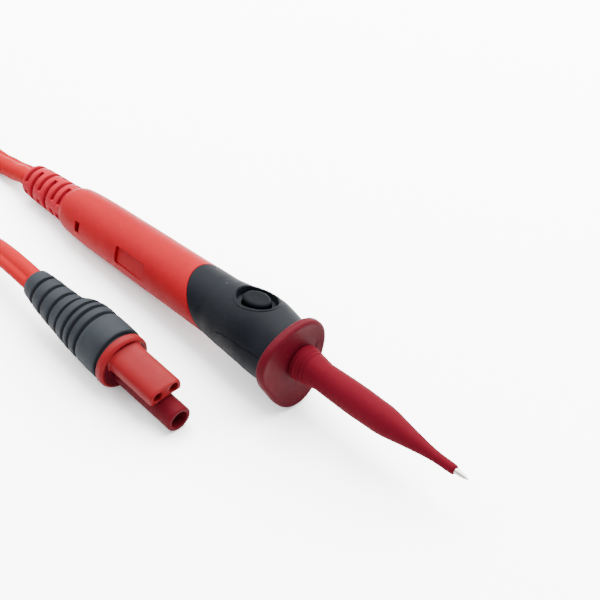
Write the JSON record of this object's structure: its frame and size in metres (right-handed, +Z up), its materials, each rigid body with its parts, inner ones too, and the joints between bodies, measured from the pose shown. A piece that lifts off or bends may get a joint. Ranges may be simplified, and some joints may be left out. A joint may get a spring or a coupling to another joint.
{
  "type": "remote test probe",
  "caption": "Hand-held test probe with a push button, finger guard and pull-off prod, on a lead with a shrouded safety plug and sense sockets.",
  "frame": {"origin": "centre of the probe's footprint on the surface that it lies on, without the free lead and its plug", "axes": "+X along the probe towards its tip, +Z up from the surface"},
  "size_m": [0.3659, 0.0731, 0.0296],
  "materials": {
    "handle": "satin coral red moulding",
    "guard": "satin dark red moulding",
    "prod": "soft crimson moulding",
    "grip": "fine matt texture",
    "button": "matt",
    "boot": "matt moulded",
    "jacket": "smooth flexible jacket",
    "plug_black": "matt moulded",
    "plug_red": "satin moulded",
    "nickel": "nickel plated",
    "brass": "turned",
    "steel": "bright",
    "rubber": "matt",
    "white_plastic": "natural",
    "tray": "moulded",
    "board": "glass-fibre board with green lacquer",
    "wire_red": "wire insulation",
    "wire_white": "wire insulation",
    "wire_blue": "wire insulation"
  },
  "bodies": {
    "probe": {"handle_barrel": "handle", "grip_sleeve": "grip", "finger_guard": "guard", "cable_boot": "boot", "chassis_tray": "tray", "switch_board": "board", "push_switch": "button", "board_screw_1": "steel", "board_screw_2": "steel", "lead_clamp": "white_plastic", "clamp_screw_1": "steel", "clamp_screw_2": "steel", "return_spring": "steel", "contact_rod": "nickel", "rod_nut": "brass", "rod_seal": "rubber", "lead_tail": "jacket", "main_conductor": "wire_red", "signal_wire_left": "wire_white", "signal_wire_right": "wire_blue", "plug_boot": "plug_black", "plug_cap": "plug_black", "plug_lead_tail": "jacket", "plug_body": "plug_red", "plug_pin": "nickel", "sense_contact_left": "nickel", "sense_contact_right": "nickel", "lead_probe_run": "jacket", "lead_plug_run": "jacket", "lead_hank": "jacket", "lead_tie": "rubber"},
    "button": {"button_cap": "button", "button_plunger": "white_plastic"},
    "prod": {"prod_body": "prod", "prod_socket": "brass", "prod_tip": "steel"}
  },
  "joints": [
    {"name": "button_press", "type": "slide", "parent": "probe", "child": "button", "axis": [0.0716, -0.2079, -0.9755], "range_m": [0, 0.001], "stiffness_N_per_m": 900, "deforming": ["return_spring"]},
    {"name": "prod_pull", "type": "slide", "parent": "probe", "child": "prod", "axis": [0.9988, 0, 0.0491], "range_m": [0, 0.02]}
  ]
}
